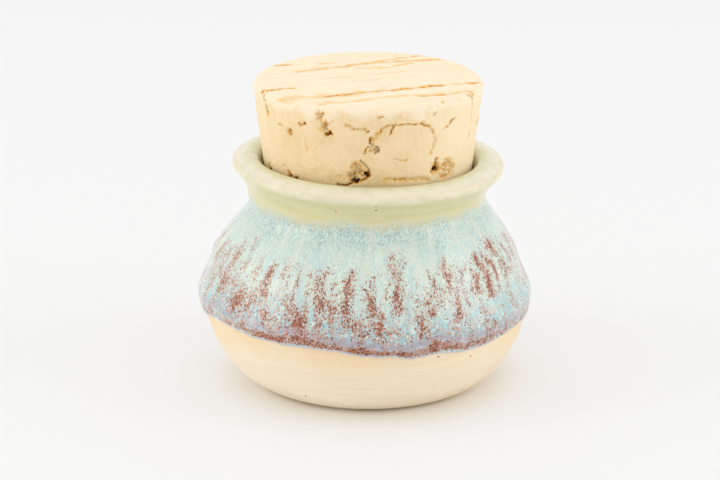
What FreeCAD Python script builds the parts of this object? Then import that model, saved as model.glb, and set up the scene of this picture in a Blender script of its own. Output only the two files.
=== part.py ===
"""A small wheel-thrown stoneware storage jar, closed by a tapered cork stopper.

Millimetres, +Z up. The origin is the centre of the flat base that the jar stands on.
Both pieces are turned shapes: half an outline in the XZ plane, swept once round the Z axis.
"""
import FreeCAD, Part
import math
import os

# --- Cork stopper: a truncated cone, pushed down into the throat ---
CORK_TOP_RADIUS = 28.4
CORK_BOTTOM_RADIUS = 23.9
CORK_LENGTH = 38.0
CORK_STANDS = 19.1          # how far its top stands above the crest of the jar's lip
CORK_EDGE = 0.6             # rounding of its top and bottom rims

# --- Fit of the cork in the throat ---
SEAT_CLEARANCE = 0.1        # radial gap between the cork and its tapered seat
SEAT_BELOW_CREST = 5.7      # where the seat starts, under the crest of the lip
SEAT_LENGTH = 7.5

# --- Jar: overall heights and radii ---
JAR_HEIGHT = 57.7           # from the base to the crest of the lip
BASE_RADIUS = 25.5          # flat face that the jar stands on
BELLY_RADIUS = 41.5
BELLY_HEIGHT = 23.2
SHOULDER_ABOVE_BELLY = 9.1  # the throwing ridge where the upper shoulder starts to close in
SHOULDER_INSET = 3.3        # how far that ridge lies inside the belly
NECK_BELOW_CREST = 10.5     # where the waist of the neck lies, under the crest

# --- Jar: wall ---
NECK_WALL = 3.75
BODY_WALL = 4.0             # at the belly and at the shoulder's ridge
FLOOR = 5.0                 # thickness of clay under the hollow
FLOOR_INSET = 5.0           # how far the hollow's flat floor stops inside the base radius

# --- Jar: rolled lip ---
THROAT_FLARE = 2.5          # how far the crest stands off the line of the seat, carried up to it
LIP_WIDTH = 4.9             # from the crest out to the lip's edge
LIP_DROP = 2.1              # how far the lip's widest point lies under its crest
LIP_ROUND = 1.3             # radius of the lip's outer edge
LIP_UNDERSIDE_DEG = 52.0    # slope of the underside, above level
LIP_TOP_DEG = 20.0          # slope of the top just inside the edge, above level

# --- Jar: how far each curve keeps its first direction, before it bends to the next point ---
BASE_RISE_DEG = 13.5        # slope of the wall where it leaves the base
BASE_SPREAD = 12.2          # outwards from the base
BELLY_DROP = 3.3            # straight down from the belly
BELLY_CLIMB = 1.7           # straight up from the belly
SHOULDER_DEG = 100.3        # slope of the wall at the shoulder's ridge, above level outwards
SHOULDER_LEAD = 2.9         # down from the ridge
SHOULDER_RUN = 3.9          # up from the ridge
NECK_TURN = 2.6             # down from the waist
NECK_CLIMB = 3.2            # up from the waist
LIP_APPROACH = 1.7          # back from the lip's edge along its underside
LIP_TOP_RUN = 1.9           # inwards from the lip's edge and outwards from the crest
THROAT_ROLL = 2.0           # inwards from the crest: less than the flare, to clear the cork
THROAT_CLIMB = 3.0          # up from the seat, along its taper
HOLLOW_TURN = 3.0           # down from the seat, along its taper
FLOOR_SPREAD = 11.0         # outwards from the hollow's flat floor


def point(r, z):
    """A point of a half outline: r out from the axis, z up."""
    return FreeCAD.Vector(r, 0, z)


def on_from(start, angle_deg, distance):
    """The point a distance from start, in a direction given as an angle above level outwards."""
    angle = math.radians(angle_deg)
    return start + FreeCAD.Vector(distance * math.cos(angle), 0, distance * math.sin(angle))


def bend(start, start_handle, end_handle, end):
    """A smooth edge that leaves start towards its handle and reaches end from the other one."""
    curve = Part.BezierCurve()
    curve.setPoles([start, start_handle, end_handle, end])
    return curve.toShape()


def straight(start, end):
    return Part.LineSegment(start, end).toShape()


def arc_about(centre, radius, start_deg, end_deg):
    """An arc from one angle to another about a centre, with its two end points."""
    start = on_from(centre, start_deg, radius)
    middle = on_from(centre, (start_deg + end_deg) / 2, radius)
    end = on_from(centre, end_deg, radius)
    return Part.Arc(start, middle, end).toShape(), start, end


def turned(edges):
    """Sweeps a closed half outline once round the Z axis into a solid."""
    face = Part.Face(Part.Wire(edges))
    return face.revolve(FreeCAD.Vector(0, 0, 0), FreeCAD.Vector(0, 0, 1), 360)


# --- Places that both pieces share ---
cork_top = JAR_HEIGHT + CORK_STANDS
cork_bottom = cork_top - CORK_LENGTH
taper = (CORK_TOP_RADIUS - CORK_BOTTOM_RADIUS) / CORK_LENGTH
taper_deg = math.degrees(math.atan2(1, taper))
shoulder_height = BELLY_HEIGHT + SHOULDER_ABOVE_BELLY


def throat_radius(z):
    """Radius of the seat at a height: the cork's own taper, wider by the clearance."""
    return CORK_TOP_RADIUS - taper * (cork_top - z) + SEAT_CLEARANCE


def make_cork():
    """The truncated cone, with both rims rounded."""
    cone = Part.makeCone(CORK_BOTTOM_RADIUS, CORK_TOP_RADIUS, CORK_LENGTH, point(0, cork_bottom))
    rims = [edge for edge in cone.Edges if isinstance(edge.Curve, Part.Circle)]
    return cone.makeFillet(CORK_EDGE, rims).Solids[0]


def outer_wall():
    """The outside from the base up to the crest of the lip, with its first and last points."""
    neck_height = JAR_HEIGHT - NECK_BELOW_CREST
    base = point(BASE_RADIUS, 0)
    belly = point(BELLY_RADIUS, BELLY_HEIGHT)
    ridge = point(BELLY_RADIUS - SHOULDER_INSET, shoulder_height)
    neck = point(throat_radius(neck_height) + NECK_WALL, neck_height)
    crest = point(throat_radius(JAR_HEIGHT) + THROAT_FLARE, JAR_HEIGHT)
    lip_centre = crest + FreeCAD.Vector(LIP_WIDTH - LIP_ROUND, 0, -LIP_DROP)
    lip_edge, lip_start, lip_end = arc_about(
        lip_centre, LIP_ROUND, LIP_UNDERSIDE_DEG - 90, 90 - LIP_TOP_DEG)
    edges = [
        bend(base, on_from(base, BASE_RISE_DEG, BASE_SPREAD), on_from(belly, -90, BELLY_DROP), belly),
        bend(belly, on_from(belly, 90, BELLY_CLIMB),
             on_from(ridge, SHOULDER_DEG, -SHOULDER_LEAD), ridge),
        bend(ridge, on_from(ridge, SHOULDER_DEG, SHOULDER_RUN), on_from(neck, -90, NECK_TURN), neck),
        bend(neck, on_from(neck, 90, NECK_CLIMB),
             on_from(lip_start, LIP_UNDERSIDE_DEG, -LIP_APPROACH), lip_start),
        lip_edge,
        bend(lip_end, on_from(lip_end, 180 - LIP_TOP_DEG, LIP_TOP_RUN),
             on_from(crest, 0, LIP_TOP_RUN), crest),
    ]
    return edges, base, crest


def inner_wall(crest):
    """The inside from the crest down past the cork's seat to the middle of the floor."""
    seat_top_height = JAR_HEIGHT - SEAT_BELOW_CREST
    seat_bottom_height = seat_top_height - SEAT_LENGTH
    seat_top = point(throat_radius(seat_top_height), seat_top_height)
    seat_bottom = point(throat_radius(seat_bottom_height), seat_bottom_height)
    ridge = point(BELLY_RADIUS - SHOULDER_INSET - BODY_WALL, shoulder_height)
    belly = point(BELLY_RADIUS - BODY_WALL, BELLY_HEIGHT)
    floor_edge = point(BASE_RADIUS - FLOOR_INSET, FLOOR)
    floor_middle = point(0, FLOOR)
    edges = [
        bend(crest, on_from(crest, 180, THROAT_ROLL),
             on_from(seat_top, taper_deg, THROAT_CLIMB), seat_top),
        straight(seat_top, seat_bottom),
        bend(seat_bottom, on_from(seat_bottom, taper_deg, -HOLLOW_TURN),
             on_from(ridge, SHOULDER_DEG, SHOULDER_RUN), ridge),
        bend(ridge, on_from(ridge, SHOULDER_DEG, -SHOULDER_LEAD),
             on_from(belly, 90, BELLY_CLIMB), belly),
        bend(belly, on_from(belly, -90, BELLY_DROP),
             on_from(floor_edge, 0, FLOOR_SPREAD), floor_edge),
        straight(floor_edge, floor_middle),
    ]
    return edges, floor_middle


def make_jar():
    """One piece of stoneware: base, wall, rolled lip and the hollow inside them."""
    outside, base, crest = outer_wall()
    inside, floor_middle = inner_wall(crest)
    base_middle = point(0, 0)
    under = [straight(floor_middle, base_middle), straight(base_middle, base)]
    return turned(outside + inside + under)


os.makedirs("parts", exist_ok=True)
for name, shape in (("jar", make_jar()), ("cork", make_cork())):
    shape.exportStep(f"parts/{name}.step")
    print(f"{name}: {shape.ShapeType}, valid {shape.isValid()}, {shape.Volume / 1000:.1f} cm3")
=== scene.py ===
"""A small wheel-thrown storage jar with a cork stopper, standing on a pale table."""
import math

import bpy
import numpy as np
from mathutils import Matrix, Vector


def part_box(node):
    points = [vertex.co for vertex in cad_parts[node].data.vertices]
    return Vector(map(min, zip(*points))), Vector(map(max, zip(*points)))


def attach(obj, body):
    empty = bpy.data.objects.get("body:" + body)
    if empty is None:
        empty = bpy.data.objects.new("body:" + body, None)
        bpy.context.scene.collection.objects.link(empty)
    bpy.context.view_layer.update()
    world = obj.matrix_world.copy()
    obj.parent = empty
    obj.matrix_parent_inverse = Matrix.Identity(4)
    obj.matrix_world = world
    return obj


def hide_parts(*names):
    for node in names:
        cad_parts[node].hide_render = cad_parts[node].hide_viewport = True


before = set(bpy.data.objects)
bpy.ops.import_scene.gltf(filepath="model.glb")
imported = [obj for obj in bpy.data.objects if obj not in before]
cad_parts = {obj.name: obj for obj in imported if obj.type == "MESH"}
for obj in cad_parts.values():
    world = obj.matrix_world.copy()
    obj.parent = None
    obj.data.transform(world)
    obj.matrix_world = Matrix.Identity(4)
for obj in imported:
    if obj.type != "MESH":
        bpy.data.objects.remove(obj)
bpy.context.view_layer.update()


# --- The clay body ---
# One piece of buff stoneware, thrown on a wheel and fired: base, full belly, narrow neck and
# a rolled lip, hollow inside. It is bare below the glaze line, with faint throwing lines, and
# the glaze is fused over the rest of it. Lengths here are millimetres.

jar_low, jar_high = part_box("jar")
cork_low, cork_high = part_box("cork")
jar_height = jar_high.z * 1000
belly_radius = jar_high.x * 1000
cork_top = cork_high.z * 1000
cork_bottom = cork_low.z * 1000
cork_radius = cork_high.x * 1000
base_radius = 25.5
belly_height = 23.2
ridge_height = 32.3
ridge_radius = belly_radius - 3.3
neck_height = jar_height - 10.5
neck_wall = 3.75
body_wall = 4.0
floor_height = 5.0
base_rise, base_spread = 13.5, 12.2
belly_drop, belly_climb = 3.3, 1.7
ridge_slope, ridge_lead, ridge_run = 100.3, 2.9, 3.9
neck_turn, neck_climb = 2.6, 3.2
lip_width, lip_drop, lip_round = 4.9, 2.1, 1.3
lip_approach, lip_top_run = 1.7, 1.9
throat_flare, throat_roll, throat_climb = 2.5, 2.0, 3.0
seat_below_crest, seat_length, hollow_turn = 5.7, 7.5, 3.0
hollow_floor_radius, floor_spread = 20.5, 11.0
seat_clearance = 0.1
cone_radius = 28.4
cone_narrowing = 4.5
cork_taper = cone_narrowing / 38.0
glaze_thickness = 0.35


def seat_radius(z):
    """Radius of the throat at a height: r = cone radius - taper (cork top - z) + clearance."""
    return cone_radius - cork_taper * (cork_top - z) + seat_clearance


def off(start, degrees, length):
    """The point start + length (cos a, sin a), for an angle a above level, outwards."""
    angle = math.radians(degrees)
    return (start[0] + length * math.cos(angle), start[1] + length * math.sin(angle))


def bend(a, b, c, d, count=80):
    """Points (1-t)^3 a + 3t(1-t)^2 b + 3t^2(1-t) c + t^3 d of a curve, with t from 0 to 1."""
    t = np.linspace(0, 1, count)[:, None]
    a, b, c, d = (np.array(p)[None] for p in (a, b, c, d))
    return (1 - t) ** 3 * a + 3 * t * (1 - t) ** 2 * b + 3 * t ** 2 * (1 - t) * c + t ** 3 * d


def ripple(x, y, z, size, seed, waves=20):
    """A smooth random field of mean 0 and spread 1: sqrt(2/n) times the sum of n sines of
    k.p + a, where each k points a random way and is about 2 pi / size long."""
    pick = np.random.default_rng(seed)
    way = pick.normal(size=(waves, 3))
    way /= np.linalg.norm(way, axis=1)[:, None]
    way *= 2 * np.pi / size * pick.uniform(0.6, 1.5, (waves, 1))
    start = pick.uniform(0, 2 * np.pi, waves)
    total = sum(np.sin(k[0] * x + k[1] * y + k[2] * z + a) for k, a in zip(way, start))
    return total * math.sqrt(2 / waves)


def ease(value, low, high):
    """Smooth step: t^2 (3 - 2t), where t goes from 0 at low to 1 at high and stays there."""
    t = np.clip((value - low) / (high - low), 0, 1)
    return t * t * (3 - 2 * t)


base = (base_radius, 0.0)
belly = (belly_radius, belly_height)
ridge = (ridge_radius, ridge_height)
neck = (seat_radius(neck_height) + neck_wall, neck_height)
crest = (seat_radius(jar_height) + throat_flare, jar_height)
lip_centre = (crest[0] + lip_width - lip_round, jar_height - lip_drop)
lip_start = off(lip_centre, -38, lip_round)
lip_end = off(lip_centre, 70, lip_round)
seat_start = jar_height - seat_below_crest
seat_end = seat_start - seat_length
seat_top = (seat_radius(seat_start), seat_start)
seat_bottom = (seat_radius(seat_end), seat_end)
seat_slope = math.degrees(math.atan2(1, cork_taper))
inner_ridge = (ridge[0] - body_wall, ridge_height)
inner_belly = (belly[0] - body_wall, belly_height)
lip_angles = np.radians(np.linspace(-38, 70, 40))
lip_arc = np.stack([lip_centre[0] + lip_round * np.cos(lip_angles),
                    lip_centre[1] + lip_round * np.sin(lip_angles)], 1)
outline = np.concatenate([
    [(0.0, 0.0)],
    bend(base, off(base, base_rise, base_spread), off(belly, -90, belly_drop), belly),
    bend(belly, off(belly, 90, belly_climb), off(ridge, ridge_slope, -ridge_lead), ridge),
    bend(ridge, off(ridge, ridge_slope, ridge_run), off(neck, -90, neck_turn), neck),
    bend(neck, off(neck, 90, neck_climb), off(lip_start, 52, -lip_approach), lip_start),
    lip_arc,
    bend(lip_end, off(lip_end, 160, lip_top_run), off(crest, 0, lip_top_run), crest),
    bend(crest, off(crest, 180, throat_roll), off(seat_top, seat_slope, throat_climb), seat_top),
    [seat_bottom],
    bend(seat_bottom, off(seat_bottom, seat_slope, -hollow_turn),
         off(inner_ridge, ridge_slope, ridge_run), inner_ridge),
    bend(inner_ridge, off(inner_ridge, ridge_slope, -ridge_lead),
         off(inner_belly, 90, belly_climb), inner_belly),
    bend(inner_belly, off(inner_belly, -90, belly_drop),
         (hollow_floor_radius + floor_spread, floor_height), (hollow_floor_radius, floor_height)),
    [(0.0, floor_height)],
])
gap = np.hypot(*np.diff(outline, axis=0).T)
outline = outline[np.concatenate([[True], gap > 1e-6])]
length = np.concatenate([[0], np.cumsum(np.hypot(*np.diff(outline, axis=0).T))])
crest_at = length[np.argmax(outline[:, 1])]
floor_at = length[-1]
climb = np.gradient(outline, length, axis=0)
wall = (length >= base_radius) & (length <= crest_at)


def station(z):
    """Distance along the outline, from the middle of the base, to a height on the outside."""
    return np.interp(z, outline[wall, 1], length[wall])


def skin(s, offset):
    """The radius and height of the outline at distance s, moved by offset along its normal
    (dz/ds, -dr/ds), which points out of the clay."""
    r, z = np.interp(s, length, outline[:, 0]), np.interp(s, length, outline[:, 1])
    dr, dz = np.interp(s, length, climb[:, 0]), np.interp(s, length, climb[:, 1])
    size = np.hypot(dr, dz)
    return np.maximum(r + offset * dz / size, 0.02), z - offset * dr / size


def settle(x, y, z):
    """How the pot sits out of true: x' = x - 0.75 lean(z), which moves the belly up to 0.8 mm
    to the left while foot and neck stay in line, and z' = z - 0.022 x over the lip. Lean grows
    over heights 0 to 24 and dies out over 32 to 46; the slope of the lip grows over 46.5 to 54."""
    lean = 0.45 * ease(z, 0, 12) + 0.65 * ease(z, 12, 24) - 1.1 * ease(z, 32, 46)
    tilt = 0.022 * ease(z, 46.5, 54)
    return x - 0.75 * lean, y, z - tilt * x


def turned_mesh(name, rows, first, last, finish):
    """A closed mesh over a grid of rows by columns of points (mm), whose columns wrap round
    the axis, shut at both ends by a fan of triangles about the points first and last."""
    count, columns = rows.shape[:2]
    corners = np.concatenate([rows.reshape(-1, 3), [first, last]]) * 0.001
    here = np.arange(count * columns).reshape(count, columns)
    right = np.roll(here, -1, axis=1)
    quads = np.stack([here[:-1], right[:-1], right[1:], here[1:]], -1).reshape(-1, 4)
    low = np.stack([np.full(columns, count * columns), right[0], here[0]], -1)
    high = np.stack([np.full(columns, count * columns + 1), here[-1], right[-1]], -1)
    mesh = bpy.data.meshes.new(name)
    mesh.from_pydata(corners, [], quads.tolist() + low.tolist() + high.tolist())
    mesh.polygons.foreach_set("use_smooth", np.ones(len(mesh.polygons), bool))
    mesh.materials.append(finish)
    mesh.update()
    piece = bpy.data.objects.new(name, mesh)
    bpy.context.scene.collection.objects.link(piece)
    return piece


def give(piece, name, values):
    """Stores one number, or one vector, for each point of a mesh under a name."""
    kind, key = ("FLOAT_VECTOR", "vector") if values.ndim == 2 else ("FLOAT", "value")
    held = piece.data.attributes.new(name, kind, "POINT")
    held.data.foreach_set(key, values.astype(np.float32).ravel())


def paint(red, green, blue):
    """A colour given in 0 to 255 screen values, as linear light: ((c + 0.055) / 1.055)^2.4."""
    linear = [((c / 255 + 0.055) / 1.055) ** 2.4 for c in (red, green, blue)]
    return (*linear, 1.0)


def new_finish(name):
    """A node material, its tree, and its shader."""
    finish = bpy.data.materials.new(name)
    finish.use_nodes = True
    return finish, finish.node_tree, finish.node_tree.nodes["Principled BSDF"]


def add(tree, kind, inputs=(), **settings):
    """Adds one node with its settings; an input is given a value, or a link if it is a socket."""
    made = tree.nodes.new(kind)
    for key, value in settings.items():
        setattr(made, key, value)
    for key, value in dict(inputs).items():
        if isinstance(value, bpy.types.NodeSocket):
            tree.links.new(value, made.inputs[key])
        else:
            made.inputs[key].default_value = value
    return made


def grain(tree, where, size, stretch=(1, 1, 1), detail=2.0, rough=0.5):
    """Noise about 0.5 whose blobs are about half of size (mm) across, drawn out by stretch."""
    scale = tuple(1000 / (size * s) for s in stretch)
    moved = add(tree, "ShaderNodeVectorMath", {0: where, 1: scale}, operation="MULTIPLY")
    made = add(tree, "ShaderNodeTexNoise", {"Vector": moved.outputs[0], "Scale": 1.0,
                                            "Detail": detail, "Roughness": rough})
    return made.outputs["Fac"]


def step(tree, value, low, high, bottom=0.0, top=1.0):
    """Smooth step of a value from bottom at low to top at high."""
    made = add(tree, "ShaderNodeMapRange",
               {"Value": value, "From Min": low, "From Max": high, "To Min": bottom, "To Max": top},
               interpolation_type="SMOOTHSTEP")
    return made.outputs["Result"]


def sums(tree, operation, first, second):
    """One sum on two numbers, such as ADD or MULTIPLY."""
    return add(tree, "ShaderNodeMath", {0: first, 1: second}, operation=operation).outputs[0]


def mixed(tree, share, first, second, how="MIX"):
    """Lays the second colour over the first by its share."""
    made = add(tree, "ShaderNodeMix", {0: share, 6: first, 7: second}, data_type="RGBA",
               blend_type=how)
    return made.outputs[2]


def read(tree, name):
    """A number or vector stored on the mesh."""
    return add(tree, "ShaderNodeAttribute", attribute_name=name)


def spots(tree, tone, where, marks):
    """Lays small round marks over a tone; each has a place and a radius (mm) and a colour."""
    for place, radius, colour in marks:
        away = add(tree, "ShaderNodeVectorMath", {0: where, 1: tuple(c * 0.001 for c in place)},
                   operation="DISTANCE").outputs["Value"]
        cover = step(tree, away, radius * 0.0013, radius * 0.0006)
        tone = mixed(tree, cover, tone, paint(*colour))
    return tone


clay, tree, shader = new_finish("buff_stoneware")
where = add(tree, "ShaderNodeTexCoord").outputs["Object"]
height = add(tree, "ShaderNodeSeparateXYZ", {0: where}).outputs["Z"]
rings = grain(tree, where, 9.0, (1.6, 1.6, 0.07), 3.0, 0.55)
cloud = grain(tree, where, 16.0, (1, 1, 0.5), 3.0, 0.5)
fine = grain(tree, where, 0.8, (1, 1, 1), 3.0, 0.6)
sideways = add(tree, "ShaderNodeSeparateXYZ", {0: where}).outputs["X"]
# Towards +x, from x = -30 to 35 mm, up to half of a warmer, darker tan is laid over the clay.
warmer_to_right = step(tree, sideways, -0.030, 0.035, 0.0, 0.5)
warm_tone_and_bounce = step(tree, height, 0.010, 0.0195)
# Painted light: the clay is paler below 12 mm and palest at the foot, standing in for light bounced up
# from the table.
tone = mixed(tree, step(tree, height, 0.001, 0.012), paint(255, 247, 232), paint(244, 231, 210))
tone = mixed(tree, warmer_to_right, tone, paint(242, 219, 180))
tone = mixed(tree, warm_tone_and_bounce, tone, paint(242, 214, 169))
tone = mixed(tree, step(tree, cloud, 0.4, 0.62, 0.0, 0.45), tone, paint(244, 230, 208))
tone = mixed(tree, step(tree, rings, 0.36, 0.64, 0.0, 0.32), tone, paint(231, 211, 178))
tone = mixed(tree, step(tree, fine, 0.3, 0.7, 0.0, 0.35), tone, paint(245, 229, 202))
# Five more specks round the sides and back, set on the skin at an angle and a height.
speck_turn = np.radians([15, 58, 104, 139, 171])
speck_r, speck_z = skin(station(np.array([9.0, 14.5, 5.5, 12.0, 7.5])), 0)
specks = np.stack(settle(speck_r * np.cos(speck_turn), speck_r * np.sin(speck_turn), speck_z), 1)
tone = spots(tree, tone, where, [
    ((-30.2, -28.3, 19.3), 0.36, (150, 116, 80)), ((-15.2, -30.4, 5.3), 0.30, (126, 90, 60)),
    ((16.95, -36.3, 17.4), 0.36, (128, 98, 60)), ((24.85, -30.6, 15.5), 0.36, (214, 156, 92))]
    + [(tuple(place), 0.36, (128, 98, 60)) for place in specks])
tree.links.new(tone, shader.inputs["Base Color"])
shader.inputs["Roughness"].default_value = 0.72
shader.inputs["Specular IOR Level"].default_value = 0.3
relief = sums(tree, "ADD", sums(tree, "MULTIPLY", rings, 0.6), sums(tree, "MULTIPLY", fine, 0.4))
bump = add(tree, "ShaderNodeBump", {"Height": relief, "Strength": 0.35, "Distance": 0.0001})
tree.links.new(bump.outputs[0], shader.inputs["Normal"])

columns = 384
around = np.arange(columns) * 2 * np.pi / columns
stations = np.concatenate([
    np.arange(2.0, base_radius - 0.4, 1.8),
    np.arange(base_radius - 0.4, station(22.0), 0.42),
    np.arange(station(22.0), crest_at, 1.5),
    np.arange(crest_at, floor_at - 1.0, 2.2),
])
turn, s = np.meshgrid(around, stations)
glazed = ease(s, station(12.0), station(17.0))
r, z = skin(s, -glaze_thickness * glazed)
outside = (s > base_radius) & (s < station(26.0))
x, y = r * np.cos(turn), r * np.sin(turn)
throwing = 0.05 * ripple(x * 0.12, y * 0.12, z, 4.5, 3) + 0.03 * ripple(x, y, z, 14, 4)
r = r + np.where(outside, throwing * ease(s, base_radius, base_radius + 3), 0)
foot = 0.06 * ripple(np.cos(turn) * 26, np.sin(turn) * 26, 0, 9, 5)
r = r + foot * ease(s, base_radius - 3, base_radius) * (1 - ease(s, base_radius, base_radius + 4))
x, y, z = settle(r * np.cos(turn), r * np.sin(turn), z)
clay_body = turned_mesh("clay_body", np.stack([x, y, z], -1), (0, 0, 0), (0, 0, 5.0), clay)
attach(clay_body, "root")
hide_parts("jar")


# --- The glaze ---
# A glass coat 0.35 mm thick, poured over the fired clay and run down in the kiln, and up to
# 1 mm thicker round the waist of the neck, most at the left. It is cream over the lip, olive at
# the neck and milky aqua below, with streaks of rust crystals and a rolled edge where it ended.

# The glaze line: azimuth in degrees from the front, towards the right, and height.
line_places = np.array([
    (-180, 19.6), (-163, 20.3), (-148, 19.5), (-132, 18.6), (-117, 19.3), (-100, 18.7),
    (-84, 18.9), (-74, 20.0), (-62, 21.1), (-50, 21.1), (-38, 20.6), (-27, 20.5), (-18, 20.6),
    (-9, 20.0), (0, 19.3), (8, 18.6), (15, 17.9), (23, 18.3), (28, 18.5), (34, 17.4),
    (42, 17.6), (51, 18.0), (59, 19.0), (67, 18.6), (76, 18.7), (90, 18.2), (103, 19.0),
    (118, 18.4), (133, 19.4), (147, 18.7), (160, 19.9), (171, 19.2)])

# Rust streaks: azimuth and height at the top, azimuth and height at the bottom, half width,
# strength.
rust_streaks = np.array([
    (-77, 38, -75, 31, 2.0, 0.6), (-69, 38, -68, 30, 2.0, 0.65), (-63, 40.5, -60.5, 35, 0.9, 0.9),
    (-60.5, 36, -60, 29, 1.0, 0.75), (-57, 42, -55, 38, 0.8, 0.6), (-54, 38, -54, 33, 0.8, 0.45),
    (-52, 38, -51.5, 31, 1.0, 0.5), (-46, 40, -45.5, 34, 0.8, 0.6), (-45.5, 35, -45, 29, 1.0, 0.5),
    (-39.5, 38.5, -38.5, 30, 0.8, 0.6), (-35, 40, -31.5, 32, 0.6, 0.5), (-31, 38, -29, 29, 0.7, 0.6),
    (-26, 39.5, -27, 29, 0.6, 0.7), (-22, 38, -21.5, 27, 0.8, 0.55), (-16, 38, -16.5, 33, 0.8, 0.6),
    (-15, 34, -16, 25, 1.6, 0.75), (-12, 37.5, -12.5, 27, 0.9, 0.5), (-5.5, 39.3, -7, 35, 0.6, 0.9),
    (-7, 35.8, -7, 33, 0.9, 1.1), (-6, 34, -6.5, 25, 1.2, 0.8), (3, 37.5, 3, 34.5, 0.5, 0.8),
    (1, 34.8, 3, 28.5, 1.7, 0.85), (7, 35, 7, 30, 0.7, 0.5), (11.5, 41.5, 11.5, 36, 0.7, 1.1),
    (11, 37.5, 12.5, 28.5, 1.1, 1.0), (15.5, 40.5, 16.5, 39, 0.4, 0.8), (14, 33, 15, 28, 1.0, 0.5),
    (24, 38, 26, 34, 1.0, 0.7), (26.5, 36, 26, 32, 1.0, 0.95), (24.5, 33, 24, 27.5, 1.8, 0.8),
    (20.5, 31, 19, 23, 0.9, 0.8), (32.5, 39.3, 34, 35, 1.1, 1.0), (33, 36, 33, 32.5, 1.2, 0.8),
    (35.5, 33.5, 35, 26, 1.9, 0.85), (39, 37.5, 38, 30, 0.8, 0.65), (42.5, 38, 44, 33, 1.3, 0.8),
    (45, 36, 47, 30, 1.7, 1.1), (49.5, 39, 50, 35, 1.3, 1.0), (51, 37, 52, 28, 1.5, 1.1),
    (54, 39, 56, 35, 1.3, 0.85), (56, 37.5, 58, 31, 1.3, 0.85), (62, 41, 63.5, 36, 1.7, 1.1),
    (64, 37, 66, 30.5, 1.6, 0.95), (71, 39, 73, 33, 1.6, 0.6), (77, 39, 78, 32, 1.6, 0.5),
    (-24, 28, -23.5, 24.5, 1.8, 0.9), (10, 27, 10, 24, 0.6, 0.9), (-3, 28, -3.5, 26, 0.8, 1.0),
    (50, 23.5, 50, 21.5, 1.0, 0.8), (-36, 33, -36, 25, 1.0, 0.6), (-50, 33, -49, 26, 1.0, 0.6),
    (-55, 32, -54, 26, 1.0, 0.55), (5, 30, 5, 24, 1.2, 0.7), (-10, 33, -10.5, 28, 0.5, 0.5)])

# Clear runs of pale glaze between them, given in the same way.
pale_runs = np.array([
    (-58, 38, -58, 33, 0.8, 0.8), (-49, 37, -48, 32, 0.8, 0.7), (-42.5, 40, -42, 33, 1.0, 0.8),
    (-36, 36, -36, 30.5, 0.7, 0.7), (-33, 31, -33.5, 28, 0.8, 0.8), (-24.5, 39, -24.5, 30.5, 0.9, 0.9),
    (-19.5, 34, -19, 24.3, 0.7, 1.2), (-9.5, 34, -9.5, 23.5, 0.6, 1.0), (-2.5, 38.5, -2, 29, 1.2, 1.1),
    (-0.5, 31, -1, 28, 0.7, 1.0), (8, 31, 8, 26, 0.8, 0.8), (17.5, 39, 17, 28, 2.0, 1.1),
    (30.5, 36, 30.5, 27, 0.8, 0.9), (41, 34, 41.5, 25, 0.9, 0.9), (48, 31, 48, 27, 0.8, 0.6),
    (60, 33, 59, 28, 0.9, 0.9), (57, 28.5, 57, 22.5, 3.0, 0.7), (66, 28.5, 67, 22.5, 4.0, 0.7),
    (75, 28, 75, 22.5, 3.0, 0.5)])

# How crowded the rust is near the line, and how strong the dark band on it: by azimuth.
crowd_places = np.array([(-90, 0.3), (-75, 0.4), (-60, 0.5), (-30, 0.6), (-15, 0.62), (0, 0.56),
                         (15, 0.48), (28, 0.36), (45, 0.44), (60, 0.38), (80, 0.3), (105, 0.6), (130, 0.8),
                         (155, 0.5), (-180, 0.3), (-150, 0.8), (-120, 0.7)])
band_places = np.array([(-90, 0.2), (-75, 0.25), (-60, 0.45), (-30, 0.9), (0, 1.0), (20, 0.9),
                        (35, 0.9),
                        (48, 0.4), (62, 0.35), (80, 0.5), (105, 0.9), (130, 1.0), (155, 0.6),
                        (-180, 0.7), (-150, 1.0), (-120, 0.9)])
dust_places = np.array([(-80, 0.85), (-60, 1.0), (-45, 1.0), (-25, 0.9), (0, 0.8), (20, 0.8), (35, 0.65),
                        (50, 0.7), (65, 0.55), (80, 0.6), (110, 0.85), (145, 0.6), (-180, 0.8),
                        (-145, 0.9), (-110, 0.7)])
murk_places = np.array([(-85, 0.1), (-65, 0.3), (-40, 0.45), (-20, 0.8), (0, 1.0), (20, 1.0), (40, 0.8),
                        (60, 0.9), (80, 0.3), (105, 0.6), (135, 0.9), (165, 0.5), (-165, 0.5),
                        (-140, 0.9), (-110, 0.5)])


def round_line(azimuth, places, spread):
    """A smooth closed line through places (angle, value): the mean of their values, each
    weighted by exp(-(angle gap / spread)^2), with a small even share so it never runs out."""
    away = (azimuth[..., None] - places[:, 0] + 180) % 360 - 180
    weight = np.exp(-(away / spread) ** 2) + 1e-6
    return (weight * places[:, 1]).sum(-1) / weight.sum(-1)


def streaks(azimuth, z, radius, given, fade):
    """How strongly a list of streaks covers each point: the largest over the list of
    strength exp(-(arc away / half width)^2), eased in below its top and out at its bottom."""
    cover = np.zeros_like(z)
    for top_turn, top, end_turn, end, half, strength in given:
        down = np.clip((top - z) / (top - end), 0, 1)
        away = (azimuth - (top_turn + (end_turn - top_turn) * down) + 180) % 360 - 180
        arc = np.radians(away) * radius
        inside = ease(-z, -top - fade, -top + fade) * (1 - ease(-z, -end - fade, -end + fade))
        cover = np.maximum(cover, strength * np.exp(-(arc / (half * (0.6 + 0.6 * down))) ** 2)
                           * inside)
    return cover


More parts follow.
